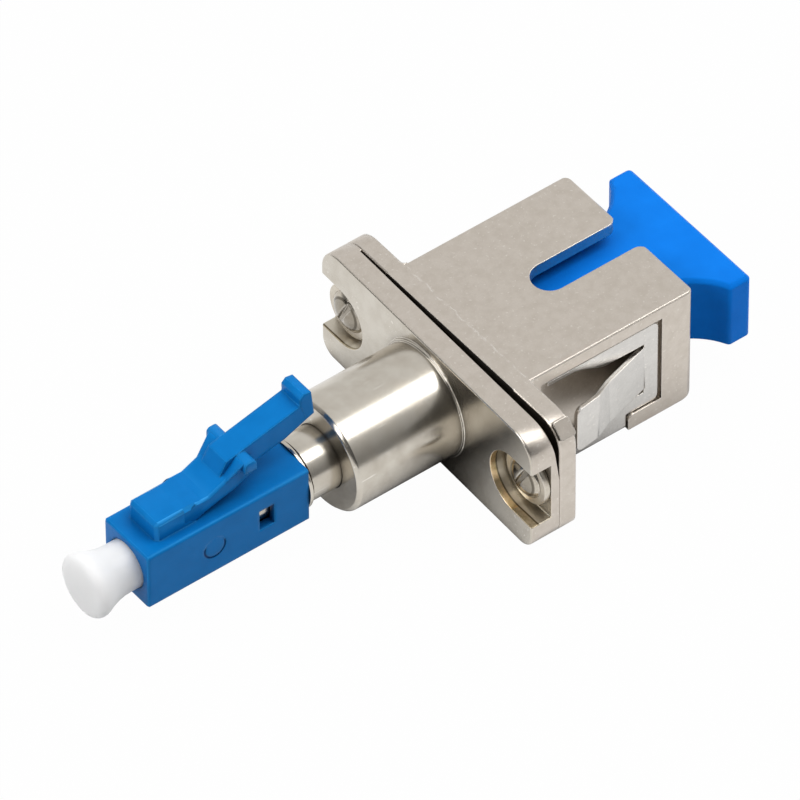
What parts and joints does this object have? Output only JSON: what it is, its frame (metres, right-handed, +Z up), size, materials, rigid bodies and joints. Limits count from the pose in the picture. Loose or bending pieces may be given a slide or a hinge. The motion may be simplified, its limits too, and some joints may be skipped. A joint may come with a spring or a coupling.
{
  "type": "power meter fibre adapter",
  "caption": "Optical adapter: plated metal flange shell with a square port under a T-grip cap, panel clip, and a latched square plug with a dust cap on a round barrel.",
  "frame": {"origin": "on the optical axis, in the plane of the flange's rear face", "axes": "+X along the optical axis and out of the rear port, +Y along the flange, +Z up through the key slot"},
  "size_m": [0.0475, 0.0221, 0.0121],
  "materials": {
    "plated_casting": "satin nickel-plated zinc casting",
    "clip_steel": "stamped stainless strip",
    "plated_steel": "nickel-plated steel",
    "turned_metal": "bright nickel-plated turning",
    "dark_plastic": "moulded",
    "ceramic": "polished white ceramic",
    "blue_plastic": "satin moulded",
    "spring_steel": "drawn wire",
    "fibre_jacket": "buffered fibre",
    "soft_white_cap": "soft translucent moulding",
    "soft_blue_cap": "soft satin moulding"
  },
  "bodies": {
    "root": {"rear_shell": "plated_casting", "front_shell": "plated_casting", "panel_clip": "clip_steel", "ear_screw_left": "plated_steel", "ear_screw_right": "plated_steel", "ear_washer_left": "plated_steel", "ear_washer_right": "plated_steel", "sleeve_holder": "dark_plastic", "split_sleeve": "ceramic", "stub_flange": "turned_metal", "stub_ferrule": "ceramic", "neck_tube": "turned_metal", "plug_housing": "blue_plastic", "plug_retainer": "turned_metal", "ferrule_spring": "spring_steel"},
    "latch": {"latch_lever": "blue_plastic"},
    "ferrule": {"ferrule_holder": "turned_metal", "plug_ferrule": "ceramic", "fibre": "fibre_jacket"},
    "plug_cap": {"plug_dust_cap": "soft_white_cap"},
    "port_cap": {"port_dust_cap": "soft_blue_cap"}
  },
  "joints": [
    {"name": "latch_press", "type": "hinge", "parent": "root", "child": "latch", "pos_m": [-0.022, 0, 0.00295], "axis": [0, 1, 0], "range_deg": [0, 9], "stiffness_Nm_per_rad": 0.4},
    {"name": "port_cap_pull", "type": "slide", "parent": "root", "child": "port_cap", "axis": [1, 0, 0], "range_m": [0, 0.013]},
    {"name": "plug_cap_pull", "type": "slide", "parent": "root", "child": "plug_cap", "axis": [-1, 0, 0], "range_m": [0, 0.006]},
    {"name": "ferrule_float", "type": "slide", "parent": "root", "child": "ferrule", "axis": [1, 0, 0], "range_m": [0, 0.0006], "stiffness_N_per_m": 2500, "springref_m": -0.002, "deforming": ["ferrule_spring"]}
  ]
}
